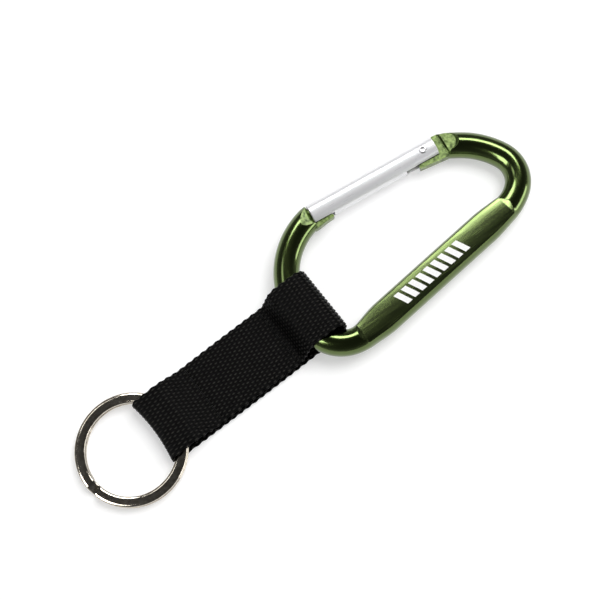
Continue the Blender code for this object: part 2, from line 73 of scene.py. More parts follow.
# Carabiner frame: a round rod bent to a chain of arcs, travelled from the nose to the hinge.
ROD_RADIUS = 3.75 * MM
NOSE_CENTRE, NOSE_HEADING = (79.36 * MM, 21.61 * MM), math.radians(187.5)
BOW_CHAIN = (
    (34.9 * MM, 22.7 * MM),  # (length, bend radius); a radius of None is a straight
    (2.9 * MM, None),
    (15.9 * MM, 10.2 * MM),
    (52.6 * MM, None),
    (7.75 * MM, 13.5 * MM),
    (11.7 * MM, 9.15 * MM),
    (12.1 * MM, 23.0 * MM),
    (5.3 * MM, 44.3 * MM),
)
ROD_LENGTH = sum(length for length, _ in BOW_CHAIN)

# The spine is pressed flat on both faces, which spreads the rod sideways.
FLAT_START, FLAT_END = 52.6 * MM, 106.1 * MM
FLAT_WALL_START, FLAT_WALL_END = 1.4 * MM, 2.2 * MM
FLAT_HALF_HEIGHT = 2.8 * MM
SPREAD, SPREAD_START, SPREAD_END = 1.03 * MM, 50.5 * MM, 111.5 * MM
SPREAD_RAMP_START, SPREAD_RAMP_END = 10.5 * MM, 13.5 * MM

# Finer than the CAD: the pressed face's crown, width and edges, and a shorter wall at its end.
FLAT_CROWN, FLAT_WIDENING, FLAT_WALL_DELAY = 0.26 * MM, 0.163, 0.9 * MM
ROD_CAP_ANGLE = math.radians(84)
EDGE_BEVEL_ANGLE, EDGE_BEVEL_WIDTH, EDGE_BEVEL_LIMIT = 0.035, 0.13 * MM, 0.3
SIDE_POINTS, TOP_POINTS = 25, 13

# Gate: a bar drilled from the hinge end, forked at the nose, turning on a rivet.
RIVET, GATE_HEADING = (116.4 * MM, 17.17 * MM), math.radians(-7.75)
GATE_RADIUS, GATE_NOSE, GATE_HINGE_END = 3.2 * MM, -36.95 * MM, 3.85 * MM
BORE_RADIUS, BORE_BOTTOM = 2.5 * MM, -19.0 * MM
SLOT_HALF_WIDTH, FORK_BOTTOM, HINGE_SLOT_END = 1.35 * MM, -30.6 * MM, -6.9 * MM
RIVET_RADIUS, RIVET_HOLE_RADIUS = 1.0 * MM, 1.06 * MM
RIVET_HEAD_RADIUS, RIVET_SEAT_RADIUS, RIVET_SEAT_Z = 1.22 * MM, 1.3 * MM, 2.95 * MM
TONGUE_HALF_THICKNESS, TANG_EYE_RADIUS = 1.1 * MM, 2.0 * MM
SHOULDER_X, HINGE_FLAT_Y = 6.0 * MM, -1.1 * MM

# Plunger and spring inside the gate.
PLUNGER_BACK, PLUNGER_LENGTH, PLUNGER_RADIUS = -6.05 * MM, 2.9 * MM, 2.35 * MM
NIPPLE_LENGTH, NIPPLE_RADIUS = 1.8 * MM, 1.4 * MM
SPRING_WIRE_RADIUS, SPRING_COIL_RADIUS, SPRING_TURNS = 0.27 * MM, 1.95 * MM, 8
SPRING_START_GAP, SPRING_TRAVEL_ROOM = 0.15 * MM, 2.2 * MM

# Webbing strap and its seams.
WEB_WIDTH, WEB_THICKNESS = 20.0 * MM, 1.2 * MM
SEAM_RING_X, SEAM_CARABINER_X = 25.04 * MM, 51.26 * MM
NEEDLE_Z, BOBBIN_Z = 3.24 * MM, 0.36 * MM
STITCHES, STITCH_LENGTH, THREAD_RADIUS = 7, 2.55 * MM, 0.24 * MM
SWING_X, ROD_AXIS_Z = 61.2 * MM, 5.65 * MM

# Split ring: flat wire wound twice round, with a crank where one turn steps over the other.
RING_OUTER_RADIUS, RING_INNER_RADIUS = 16.0 * MM, 13.05 * MM
COIL_HEIGHT, COIL_GAP = 1.42 * MM, 0.16 * MM
CRANK_ANGLE, RAMP_SWEEP = math.radians(-172), math.radians(11)
END_CLEARANCE = math.radians(2.5)
RING_HALF_HEIGHT = COIL_HEIGHT + COIL_GAP / 2
RING_PASS_GAP, RING_IN_LOOP_X = 0.25 * MM, 12.0 * MM

# The carabiner leans on the strap under its bow, and the ring on the strap through it.
BOW_REST_X = 134.2 * MM
FRAME_TILT = math.asin((ROD_AXIS_Z - ROD_RADIUS) / (BOW_REST_X - SWING_X))
RING_TILT = math.asin((WEB_THICKNESS + RING_PASS_GAP) / (RING_IN_LOOP_X + RING_OUTER_RADIUS))
RING_Z = RING_HALF_HEIGHT * math.cos(RING_TILT) + RING_OUTER_RADIUS * math.sin(RING_TILT)

# Axes that the pieces are drawn in.
DRAWING = Matrix.Translation((RING_CENTRE_X, STRAP_Y, 0))
TILT = Matrix.Rotation(FRAME_TILT, 4, "Y")
SWING = Matrix.Translation((SWING_X, 0, ROD_AXIS_Z)) @ TILT
FRAME_AXES = DRAWING @ SWING @ Matrix.Translation((-SWING_X, 0, 0))
HINGE = Matrix.Translation((*RIVET, 0)) @ Matrix.Rotation(GATE_HEADING, 4, "Z")
GATE_AXES = FRAME_AXES @ HINGE
RING_AXES = DRAWING @ Matrix.Translation((0, 0, RING_Z)) @ Matrix.Rotation(-RING_TILT, 4, "Y")


# --- small tools ---


def smoothstep(value):
    """A smooth rise from 0 at 0 to 1 at 1, of a number or of an array."""
    value = np.clip(value, 0.0, 1.0)
    return value * value * (3 - 2 * value)


def mix(first, second, share):
    return first + (second - first) * share


def arc(centre, radius, start, end, steps):
    """Points on an arc between two angles in degrees."""
    points = []
    for i in range(steps + 1):
        angle = math.radians(mix(start, end, i / steps))
        points.append((centre[0] + radius * math.cos(angle), centre[1] + radius * math.sin(angle)))
    return points


def mesh_of(name, vertices, faces, sharp=SHARP):
    mesh = bpy.data.meshes.new(name)
    mesh.from_pydata(vertices, [], faces)
    shape = bmesh.new()
    shape.from_mesh(mesh)
    bmesh.ops.recalc_face_normals(shape, faces=shape.faces)
    shape.to_mesh(mesh)
    shape.free()
    mesh.shade_smooth()
    mesh.set_sharp_from_angle(angle=sharp)
    return mesh


def tube_mesh(name, rings, sharp=SHARP):
    """A skin over rings of equal length, capped at both ends."""
    count = len(rings[0])
    vertices = [tuple(point) for ring in rings for point in ring]
    faces = []
    for row in range(len(rings) - 1):
        low, high = row * count, (row + 1) * count
        for i in range(count):
            j = (i + 1) % count
            faces.append((low + i, low + j, high + j, high + i))
    faces.append(tuple(reversed(range(count))))
    faces.append(tuple(range(len(vertices) - count, len(vertices))))
    return mesh_of(name, vertices, faces, sharp)


def prism_mesh(name, outline, low, high):
    return tube_mesh(name, [[(x, y, z) for x, y in outline] for z in (low, high)])


def cylinder_mesh(name, radius, low, high, facets=48):
    return prism_mesh(name, arc((0, 0), radius, 0, 360 - 360 / facets, facets - 1), low, high)


def box_mesh(name, low, high):
    outline = [(low[0], low[1]), (high[0], low[1]), (high[0], high[1]), (low[0], high[1])]
    return prism_mesh(name, outline, low[2], high[2])


def turned_mesh(name, profile, facets):
    """A solid turned about X from its (x, radius) profile."""
    turns = [2 * math.pi * i / facets for i in range(facets)]
    rings = [[(x, r * math.cos(t), r * math.sin(t)) for t in turns] for x, r in profile]
    return tube_mesh(name, rings)


def rounded(profile, corner, radius, steps=4):
    """The profile with one of its corners replaced by an arc of about that radius."""
    before, here, after = (Vector(profile[i]) for i in (corner - 1, corner, corner + 1))
    start = here + (before - here).normalized() * radius
    end = here + (after - here).normalized() * radius
    points = []
    for i in range(steps + 1):
        t = i / steps
        points.append(tuple(start * (1 - t) ** 2 + here * 2 * t * (1 - t) + end * t**2))
    return list(profile[:corner]) + points + list(profile[corner + 1 :])


def add_object(name, mesh, materials=(), axes=None):
    item = bpy.data.objects.new(name, mesh)
    bpy.context.scene.collection.objects.link(item)
    for material in materials:
        mesh.materials.append(material)
    if axes:
        item.matrix_world = axes
    return item


def carve(item, cutters):
    """Runs exact Booleans of (mesh, axes, operation, material index) on the item and applies them."""
    helpers = []
    for mesh, axes, operation, index in cutters:
        mesh.polygons.foreach_set("material_index", [index] * len(mesh.polygons))
        for material in item.data.materials:
            mesh.materials.append(material)
        helper = add_object(mesh.name + "_cutter", mesh, axes=axes)
        modifier = item.modifiers.new(mesh.name, "BOOLEAN")
        modifier.operation = operation
        modifier.solver = "EXACT"
        modifier.object = helper
        helpers.append(helper)
    bpy.context.view_layer.update()
    graph = bpy.context.evaluated_depsgraph_get()
    made = bpy.data.meshes.new_from_object(item.evaluated_get(graph))
    item.modifiers.clear()
    item.data = made
    for helper in helpers:
        bpy.data.objects.remove(helper)
    made.shade_smooth()
    made.set_sharp_from_angle(angle=SHARP)


# --- materials ---

SPINE_TURN = math.radians(4.9)


def link(tree, first, output, second, inlet):
    tree.links.new(first.outputs[output], second.inputs[inlet])


def pattern(tree, coordinate, stretch, scale, detail, turn):
    """Noise on the piece's own coordinates, stretched along an axis."""
    source = tree.nodes.new("ShaderNodeTexCoord")
    place = tree.nodes.new("ShaderNodeMapping")
    place.inputs["Rotation"].default_value = (0, 0, turn)
    place.inputs["Scale"].default_value = stretch
    noise = tree.nodes.new("ShaderNodeTexNoise")
    noise.inputs["Scale"].default_value = scale
    noise.inputs["Detail"].default_value = detail
    link(tree, source, coordinate, place, "Vector")
    link(tree, place, "Vector", noise, "Vector")
    return noise


def ranged(tree, source, low, high, start=0.3, end=0.7):
    """Maps the source's factor from start..end to low..high."""
    spread = tree.nodes.new("ShaderNodeMapRange")
    for name, value in (("From Min", start), ("From Max", end), ("To Min", low), ("To Max", high)):
        spread.inputs[name].default_value = value
    link(tree, source, "Fac", spread, "Value")
    return spread


def finish(name, dark, light, rough, *, tone_scale, grain_scale, bump, depth, metallic=0.0,
           tone=(1, 1, 1), grain=(1, 1, 1), turn=0.0, coordinate="Object", **sockets):
    """A surface whose colour, roughness and fine relief all vary by procedural noise.

    The tone noise mixes the dark and light colours, and the grain noise drives roughness and
    relief. Extra keywords set the shader's own sockets.
    """
    material = bpy.data.materials.new(name)
    material.use_nodes = True
    tree = material.node_tree
    shader = tree.nodes["Principled BSDF"]
    shader.inputs["Metallic"].default_value = metallic
    for socket, value in sockets.items():
        shader.inputs[socket.replace("_", " ")].default_value = value
    clouds = pattern(tree, coordinate, tone, tone_scale, 5.0, turn)
    colours = tree.nodes.new("ShaderNodeMix")
    colours.data_type = "RGBA"
    colours.inputs["A"].default_value = (*dark, 1)
    colours.inputs["B"].default_value = (*light, 1)
    link(tree, ranged(tree, clouds, 0.0, 1.0), "Result", colours, "Factor")
    link(tree, colours, "Result", shader, "Base Color")
    fine = pattern(tree, coordinate, grain, grain_scale, 3.0, turn)
    link(tree, ranged(tree, fine, rough[0], rough[1]), "Result", shader, "Roughness")
    relief = tree.nodes.new("ShaderNodeBump")
    relief.inputs["Strength"].default_value = bump
    relief.inputs["Distance"].default_value = depth
    link(tree, fine, "Fac", relief, "Height")
    link(tree, relief, "Normal", shader, "Normal")
    return material


def paint_weave_hollow_shade(material, hollow_shade):
    """Paints shade into the base colour between the yarns: darker where the mesh's yarn height is
    low, standing in for the shade in the weave's hollows.
    """
    tree = material.node_tree
    shader = tree.nodes["Principled BSDF"]
    height = tree.nodes.new("ShaderNodeAttribute")
    height.attribute_name = "yarn_height"
    shade = tree.nodes.new("ShaderNodeMix")
    shade.data_type = "RGBA"
    shade.inputs["A"].default_value = (*hollow_shade, 1)
    tree.links.new(shader.inputs["Base Color"].links[0].from_socket, shade.inputs["B"])
    link(tree, ranged(tree, height, 0.0, 1.0, start=0.5, end=1.0), "Result", shade, "Factor")
    link(tree, shade, "Result", shader, "Base Color")


def webbing_finish():
    yarn = finish(
        "black_webbing_yarn", (0.021, 0.0207, 0.0185), (0.044, 0.043, 0.037), (0.34, 0.46),
        tone_scale=0.35, grain=(0.16, 1, 1), grain_scale=9.0, bump=0.5, depth=0.04 * MM,
        coordinate="UV", Specular_IOR_Level=0.06,
    )
    # Painted shade: the weave's hollows get a near-black base colour.
    paint_weave_hollow_shade(yarn, (0.0006, 0.0006, 0.0006))
    return yarn


def make_materials():
    return {
        "green": finish(
            "green_anodised", (0.092, 0.132, 0.038), (0.108, 0.152, 0.046), (0.13, 0.2),
            metallic=1.0, tone_scale=160, grain_scale=5200, bump=0.05, depth=0.004 * MM,
            Coat_Weight=0.4, Coat_Roughness=0.06,
        ),
        "pressed": finish(
            "green_pressed_brushed", (0.08, 0.118, 0.03), (0.16, 0.215, 0.07), (0.14, 0.28),
            metallic=1.0, tone=(0.06, 1, 1), tone_scale=1500, grain=(0.02, 1, 1), grain_scale=6000,
            bump=0.4, depth=0.007 * MM, turn=-SPINE_TURN, Coat_Weight=0.5, Coat_Roughness=0.2,
        ),
        "milled": finish(
            "green_milled", (0.026, 0.046, 0.009), (0.22, 0.30, 0.10), (0.30, 0.48),
            metallic=1.0, tone_scale=1000, grain=(1, 0.15, 1), grain_scale=5200, bump=0.5,
            depth=0.016 * MM, Coat_Weight=0.5, Coat_Roughness=0.25,
        ),
        "silver": finish(
            "satin_silver_tube", (0.91, 0.91, 0.93), (0.96, 0.96, 0.975), (0.27, 0.34),
            metallic=0.45, tone=(0.1, 1, 1), tone_scale=500, grain=(0.03, 1, 1), grain_scale=7000,
            bump=0.10, depth=0.004 * MM,
        ),
        "rivet": finish(
            "rivet_steel_worn", (0.50, 0.50, 0.51), (0.72, 0.72, 0.73), (0.22, 0.4),
            metallic=0.85, tone_scale=2600, grain_scale=7000, bump=0.25, depth=0.012 * MM,
        ),
        "spring": finish(
            "spring_steel_wire", (0.38, 0.38, 0.39), (0.52, 0.52, 0.53), (0.25, 0.4),
            metallic=1.0, tone_scale=2500, grain=(1, 0.2, 0.2), grain_scale=6000, bump=0.2,
            depth=0.01 * MM,
        ),
        "nylon": finish(
            "natural_nylon_moulded", (0.78, 0.765, 0.72), (0.86, 0.85, 0.81), (0.38, 0.52),
            tone_scale=700, grain_scale=5000, bump=0.15, depth=0.01 * MM, Subsurface_Weight=0.1,
            Subsurface_Scale=0.4 * MM,
        ),
        "nickel": finish(
            "nickel_plate", (0.46, 0.41, 0.33), (0.74, 0.69, 0.60), (0.07, 0.18),
            metallic=1.0, tone_scale=900, grain_scale=2600, bump=0.25, depth=0.01 * MM,
        ),
        "webbing": webbing_finish(),
        "thread": finish(
            "black_sewing_thread", (0.0025, 0.0025, 0.0026), (0.006, 0.006, 0.0058), (0.34, 0.5),
            tone_scale=900, grain=(1, 0.3, 1), grain_scale=9000, bump=0.5, depth=0.02 * MM,
            Specular_IOR_Level=0.09,
        ),
        "ink": finish(
            "white_pad_print", (0.80, 0.80, 0.79), (0.90, 0.90, 0.89), (0.38, 0.52),
            tone_scale=2500, grain_scale=6000, bump=0.15, depth=0.006 * MM,
        ),
    }


# --- carabiner frame ---

# Places of the frame's materials on its mesh; the round rod's own is 0.
PRESSED_FACE, MILLED_FACE = 1, 2


def rod_point(along):
    """(x, y, heading) of the rod's centre line at a distance from the nose."""
    x, y = NOSE_CENTRE
    heading = NOSE_HEADING
    for length, radius in BOW_CHAIN:
        reach = min(along, length)
        turn = reach / radius if radius else 0.0
        chord = 2 * radius * math.sin(turn / 2) if radius else reach
        x += chord * math.cos(heading + turn / 2)
        y += chord * math.sin(heading + turn / 2)
        heading += turn
        along -= reach
        if along <= 0:
            break
    return x, y, heading


def rod_half_width(along):
    rise = smoothstep((along - SPREAD_START) / SPREAD_RAMP_START)
    fall = smoothstep((SPREAD_END - along) / SPREAD_RAMP_END)
    return ROD_RADIUS + SPREAD * rise * fall


def roundness(along):
    """0 where the spine is pressed flat, rising along a plane wall to 1 where the rod is round."""
    before = (FLAT_START - along) / FLAT_WALL_START
    after = (along - FLAT_END - FLAT_WALL_DELAY) / (FLAT_WALL_END - FLAT_WALL_DELAY)
    return min(max(before, after, 0.0), 1.0)


def top_face(along):
    """(half width, height, crown) of the rod's top face."""
    share = roundness(along)
    top = ROD_RADIUS * math.sin(ROD_CAP_ANGLE)
    height = mix(FLAT_HALF_HEIGHT, top, share)
    edge = rod_half_width(along) * math.sqrt(1 - (height / ROD_RADIUS) ** 2)
    edge *= 1 + FLAT_WIDENING * (1 - share)
    return edge, height, mix(FLAT_CROWN, ROD_RADIUS - top, share)


def rod_section(along):
    """The section as (sideways, up) points: a round side, a top face, and the same turned over."""
    half_width = rod_half_width(along)
    edge, height, crown = top_face(along)
    bulge = half_width - edge
    radius = (bulge**2 + height**2) / (2 * bulge)
    limit = math.asin(min(height / radius, 1.0)) - EDGE_BEVEL_ANGLE
    half = []
    for i in range(SIDE_POINTS):
        angle = mix(-limit, limit, i / (SIDE_POINTS - 1))
        half.append((half_width - radius * (1 - math.cos(angle)), radius * math.sin(angle)))
    inset = 1 - min(EDGE_BEVEL_WIDTH / edge, EDGE_BEVEL_LIMIT)
    for i in range(TOP_POINTS):
        share = mix(inset, -inset, i / (TOP_POINTS - 1))
        half.append((edge * share, height + crown * (1 - share**2)))
    return half + [(-u, -v) for u, v in half]


def rod_distances():
    """Where the rod's skin has its rings: close together at the ends of the pressed flat."""
    rows, wall_rows, margin = 230, 22, 0.3 * MM
    steps = {ROD_LENGTH * i / rows for i in range(rows + 1)}
    for low, high in (
        (FLAT_START - FLAT_WALL_START, FLAT_START),
        (FLAT_END, FLAT_END + FLAT_WALL_END),
    ):
        steps = {s for s in steps if not low - margin < s < high + margin}
        steps |= {mix(low, high, i / wall_rows) for i in range(wall_rows + 1)}
        steps |= {low - margin / 2, high + margin / 2}
    return sorted(steps)


def rod_mesh():
    """The rod's skin. Its end rings lie square to the gate, and its pressed faces are marked."""
    distances = rod_distances()
    last = len(distances) - 1
    rings = []
    for index, along in enumerate(distances):
        x, y, heading = rod_point(along)
        if index in (0, last):
            heading = GATE_HEADING + math.pi
        side = Vector((math.sin(heading), -math.cos(heading), 0))
        centre = Vector((x, y, 0))
        rings.append([centre + side * u + Vector((0, 0, v)) for u, v in rod_section(along)])
    mesh = tube_mesh("carabiner_body", rings)
    count = len(rings[0])
    nearly_round = 0.999
    for polygon in mesh.polygons:
        row, column = divmod(min(polygon.vertices), count)
        here = roundness(distances[row])
        following = roundness(distances[min(row + 1, last)])
        pressed = here < nearly_round or 0 < following < nearly_round
        on_top = column % (count // 2) >= SIDE_POINTS
        if pressed and on_top and len(polygon.vertices) == 4:
            polygon.material_index = PRESSED_FACE
    return mesh


def tang_outline():
    eye = arc((0, 0), TANG_EYE_RADIUS, 90, 215, 24)
    finger = [(-3.0, -3.35), (-3.05, -4.1), (1.2, -4.5), (5.6, -4.95), (7.6, -4.2)]
    root = [(7.4, 1.8), (6.2, 2.6), (4.3, 2.75), (4.3, 2.0)]
    return eye + [(x * MM, y * MM) for x, y in finger + root]


def tongue_outline():
    inner_edge = [(-38.7, -4.1), (-37.5, -4.7), (-36.3, -4.6), (-34.1, -4.2), (-31.5, -3.95)]
    outer_edge = [(-31.2, -3.75), (-31.25, -3.35), (-36.4, 1.9), (-38.7, 1.9)]
    return [(x * MM, y * MM) for x, y in inner_edge + outer_edge]


def cross_prism(name, outline, reach):
    """An outline in X and Z, in millimetres, extruded both ways along Y."""
    rings = [[(x * MM, y, z * MM) for x, z in outline] for y in (-reach, reach)]
    return tube_mesh(name, rings)


def hinge_flat_mesh():
    """A milled flat next to the shoulder, with a round end and a flank that leans out."""
    centre_x, back_x, spare = SHOULDER_X + 1.3 * MM, SHOULDER_X - 1.0 * MM, 1.5 * MM
    rings = []
    for z, radius in ((2.25 * MM, 2.6 * MM), (4.0 * MM, 3.7 * MM)):
        outline = arc((centre_x, HINGE_FLAT_Y), radius, -90, 90, 40)
        outline += [(back_x, HINGE_FLAT_Y + radius + spare), (back_x, HINGE_FLAT_Y - radius - spare)]
        rings.append([(x, y, z) for x, y in outline])
    return tube_mesh("hinge_flat", rings)


def build_frame(materials):
    body = add_object("carabiner_body", rod_mesh(), materials, FRAME_AXES)
    thickness = TONGUE_HALF_THICKNESS
    turn_over = Matrix.Translation((0, 2 * HINGE_FLAT_Y, 0)) @ Matrix.Rotation(math.pi, 4, "X")
    notch = [(-37.4, 2.7), (-37.4, 4.6), (-43.4, 4.6)]
    chamfer = [(5.0, 1.35), (6.1, 1.35), (6.65, 2.45), (5.0, 2.45)]
    cutters = []
    for axes in (GATE_AXES, GATE_AXES @ turn_over):
        cutters += [
            (cross_prism("nose_notch", notch, 5 * MM), axes, "DIFFERENCE", MILLED_FACE),
            (hinge_flat_mesh(), axes, "DIFFERENCE", MILLED_FACE),
            (cross_prism("shoulder_chamfer", chamfer, 6 * MM), axes, "DIFFERENCE", MILLED_FACE),
        ]
    tang = prism_mesh("tang", tang_outline(), -thickness, thickness)
    tongue = prism_mesh("tongue", tongue_outline(), -thickness, thickness)
    hole = cylinder_mesh("hole", RIVET_HOLE_RADIUS, -2 * thickness, 2 * thickness)
    cutters += [
        (tang, GATE_AXES, "UNION", MILLED_FACE),
        (tongue, GATE_AXES, "UNION", MILLED_FACE),
        (hole, GATE_AXES, "DIFFERENCE", MILLED_FACE),
    ]
    carve(body, cutters)
    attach(body, "carabiner")
    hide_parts("carabiner_frame")


def print_point(along, sideways, lift):
    """A point on the pressed face, lifted off it."""
    x, y, heading = rod_point(along)
    edge, height, crown = top_face(along)
    z = height + crown * (1 - (sideways / edge) ** 2) + lift
    return (x + math.sin(heading) * sideways, y - math.cos(heading) * sideways, z)


def build_print(material):
    """A generic printed mark: a row of plain slanted bars, thick as a coat of ink."""
    bars, start = 9, 66.6 * MM
    pitch, width, half_height, slant = 2.75 * MM, 1.75 * MM, 2.15 * MM, 0.75 * MM
    lift, sink = 0.018 * MM, 0.04 * MM
    rows, columns = 12, 4
    shape = bmesh.new()
    for bar in range(bars):
        rings = []
        for i in range(rows + 1):
            sideways = mix(half_height, -half_height, i / rows)
            low = start + bar * pitch + slant * (1 - 2 * i / rows)
            across = [mix(low, low + width, j / columns) for j in range(columns + 1)]
            ring = [print_point(along, sideways, lift) for along in across]
            ring += [print_point(along, sideways, -sink) for along in reversed(across)]
            rings.append(ring)
        shape.from_mesh(tube_mesh(f"bar_{bar}", rings))
    joined = bpy.data.meshes.new("printed_bars")
    shape.to_mesh(joined)
    shape.free()
    joined.set_sharp_from_angle(angle=math.radians(30))
    marks = add_object("printed_bars", joined, [material], FRAME_AXES)
    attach(marks, "carabiner")


# --- gate ---


def build_gate(material):
    edge_radius, core_radius, spare = 0.28 * MM, 0.4 * MM, 1 * MM
    profile = [
        (GATE_NOSE, core_radius),
        (GATE_NOSE, GATE_RADIUS),
        (GATE_HINGE_END, GATE_RADIUS),
        (GATE_HINGE_END, core_radius),
    ]
    profile = rounded(profile, 2, edge_radius)
    profile = rounded(profile, 1, edge_radius)
    gate = add_object("gate_tube", turned_mesh("gate_tube", profile, 128), [material], GATE_AXES)
    over = GATE_RADIUS + spare
    fork_low = (GATE_NOSE - spare, -over, -SLOT_HALF_WIDTH)
    fork_high = (FORK_BOTTOM, over, SLOT_HALF_WIDTH)
    slot_low = (HINGE_SLOT_END, -over, -SLOT_HALF_WIDTH)
    slot_high = (GATE_HINGE_END + spare, 0.0, SLOT_HALF_WIDTH)
    cutters = (
        turned_mesh("bore", [(BORE_BOTTOM, BORE_RADIUS), (5 * MM, BORE_RADIUS)], 96),
        box_mesh("fork", fork_low, fork_high),
        box_mesh("slot", slot_low, slot_high),
        cylinder_mesh("rivet_hole", RIVET_HOLE_RADIUS, -over, over),
        cylinder_mesh("seat_front", RIVET_SEAT_RADIUS, RIVET_SEAT_Z, over),
        cylinder_mesh("seat_back", RIVET_SEAT_RADIUS, -over, -RIVET_SEAT_Z),
    )
    carve(gate, [(mesh, GATE_AXES, "DIFFERENCE", 0) for mesh in cutters])
    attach(gate, "gate")
    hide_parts("gate")


def build_rivet(material):
    """The rivet, with a domed crown round a small centre dimple at both ends."""
    seat = RIVET_SEAT_Z + 0.05 * MM
    crown = [(0.12, 1.0), (0.2, 0.97), (0.27, 0.9), (0.31, 0.8), (0.34, 0.68), (0.335, 0.56)]
    crown += [(0.28, 0.42), (0.2, 0.26), (0.17, 0.1)]
    half = [(seat, RIVET_RADIUS), (seat, RIVET_HEAD_RADIUS)]
    half += [(seat + rise * MM, share * RIVET_HEAD_RADIUS) for rise, share in crown]
    profile = [(-x, r) for x, r in reversed(half)] + half
    axes = GATE_AXES @ Matrix.Rotation(math.radians(-90), 4, "Y")
    rivet = add_object("rivet", turned_mesh("rivet", profile, 64), [material], axes)
    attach(rivet, "gate")
    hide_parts("gate_rivet")


def build_spring(material):
    start = PLUNGER_BACK - SPRING_START_GAP - SPRING_WIRE_RADIUS
    end = BORE_BOTTOM + SPRING_TRAVEL_ROOM + SPRING_WIRE_RADIUS
    steps, sides = SPRING_TURNS * 40, 14
    rings = []
    for i in range(steps + 1):
        turn = 2 * math.pi * SPRING_TURNS * i / steps
        outward = Vector((0, math.cos(turn), math.sin(turn)))
        centre = Vector((mix(start, end, i / steps), 0, 0)) + outward * SPRING_COIL_RADIUS
        ring = []
        for j in range(sides):
            angle = 2 * math.pi * j / sides
            offset = outward * math.cos(angle) + Vector((1, 0, 0)) * math.sin(angle)
            ring.append(centre + offset * SPRING_WIRE_RADIUS)
        rings.append(ring)
    mesh = tube_mesh("spring_coil", rings, sharp=math.radians(40))
    spring = add_object("spring_coil", mesh, [material], GATE_AXES)
    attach(spring, "plunger")
    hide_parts("gate_spring")


def build_plunger(material):
    face, tip, core_radius = PLUNGER_BACK + PLUNGER_LENGTH, PLUNGER_BACK - NIPPLE_LENGTH, 0.3 * MM
    profile = [
        (tip, core_radius),
        (tip, NIPPLE_RADIUS),
        (PLUNGER_BACK, NIPPLE_RADIUS),
        (PLUNGER_BACK, PLUNGER_RADIUS),
        (face, PLUNGER_RADIUS),
        (face, core_radius),
    ]
    profile = rounded(profile, 4, 0.4 * MM)
    profile = rounded(profile, 1, 0.35 * MM)
    mesh = turned_mesh("plunger_pin", profile, 72)
    plunger = add_object("plunger_pin", mesh, [material], GATE_AXES)
    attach(plunger, "plunger")
    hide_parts("spring_plunger")


# --- split ring ---


def wire_section():
    """The flat wire's outline as (outward, up), with elliptical corners."""
    half_width = (RING_OUTER_RADIUS - RING_INNER_RADIUS) / 2
    half_height = COIL_HEIGHT / 2
    corner_width, corner_height = 0.9 * MM, 0.5 * MM
    points = []
    for u, v, start in ((1, 1, 0), (-1, 1, 90), (-1, -1, 180), (1, -1, 270)):
        out, up = u * (half_width - corner_width), v * (half_height - corner_height)
        for x, z in arc((0, 0), 1.0, start, start + 90, 7):
            points.append((out + corner_width * x, up + corner_height * z))
    return points


def coil_height_at(sweep):
    """The wire runs round on top, down the crank at one full turn, and round again underneath."""
    level = (COIL_HEIGHT + COIL_GAP) / 2
    return mix(level, -level, smoothstep((sweep - 2 * math.pi) / RAMP_SWEEP + 0.5))


def build_ring(material):
    start = RAMP_SWEEP / 2 + END_CLEARANCE
    end = 4 * math.pi - start
    middle = (RING_OUTER_RADIUS + RING_INNER_RADIUS) / 2
    section = wire_section()
    steps = 560
    rings = []
    for i in range(steps + 1):
        sweep = mix(start, end, i / steps)
        angle = CRANK_ANGLE + sweep
        outward = Vector((math.cos(angle), math.sin(angle), 0))
        height = coil_height_at(sweep)
        rings.append([outward * (middle + u) + Vector((0, 0, height + v)) for u, v in section])
    mesh = tube_mesh("key_ring", rings, sharp=math.radians(40))
    ring = add_object("key_ring", mesh, [material], RING_AXES)
    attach(ring, "ring")
    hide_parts("split_ring")


# --- webbing ---

# The weave's bundles, repeat, relief and mesh steps, and the belt's scalloped and thinned edges.
WARP_BUNDLES, COLUMNS_PER_BUNDLE = 33, 4
WEAVE_PERIOD, WEAVE_DEPTH, ROW_STEP = 2.5 * MM, 0.45 * MM, 0.2 * MM
WARP_SHARPNESS, WEFT_HEIGHT, YARN_ROUNDNESS = 1.4, 0.35, 0.9
SCALLOP, EDGE_SHARE, EDGE_THINNING = 0.13 * MM, 0.055, 0.9
SKIN_GAP = 0.02 * MM
SEAM_DIP_DEPTH, SEAM_DIP_HALF_WIDTH = 0.2 * MM, 0.62 * MM

# The webbing's lines are in millimetres: where its halves meet, and its three layers' heights.
MID_X = 37.97
LAYER_LOW, LAYER_MIDDLE, LAYER_TOP = 0.6, 1.8, 3.0


def distances_along(line):
    gaps = np.linalg.norm(np.diff(line, axis=0), axis=1)
    return np.concatenate([[0], np.cumsum(gaps)])


def webbing_line(points, rounding):
    """The line through points in millimetres, at even steps, with its corners smoothed."""
    line = np.array([(x * MM, z * MM) for x, z in points], float)
    for _ in range(2):
        distance = distances_along(line)
        count = max(2, round(distance[-1] / ROW_STEP))
        even = np.linspace(0, distance[-1], count + 1)
        line = np.stack([np.interp(even, distance, line[:, i]) for i in (0, 1)], axis=1)
        for _ in range(rounding):
            line[1:-1] = line[1:-1] * 0.5 + (line[:-2] + line[2:]) * 0.25
    return line


def outward_normals(line):
    """Unit normals that point out of the line's loop, and down on a line along +X."""
    tangent = np.gradient(line, axis=0)
    tangent /= np.linalg.norm(tangent, axis=1)[:, None]
    return np.stack([tangent[:, 1], -tangent[:, 0]], axis=1) * np.sign(tangent[0, 0])


def weave(distance, across, period, face):
    """Height of a plain weave, 0 to 1: warp bundles that go over and under the weft in turn."""
    bundle = np.clip((across * WARP_BUNDLES).astype(int), 0, WARP_BUNDLES - 1)
    local = (across * WARP_BUNDLES - bundle) * 2 - 1
    phase = 2 * math.pi * distance / period + math.pi * bundle
    over = 0.5 + 0.5 * face * np.cos(phase)
    warp = over**WARP_SHARPNESS * (1 - YARN_ROUNDNESS * local**2)
    pick = (2 * distance / period + 0.5) % 1.0 * 2 - 1
    weft = WEFT_HEIGHT * (1 - over) * (1 - YARN_ROUNDNESS * pick**2)
    return np.maximum(warp, weft)


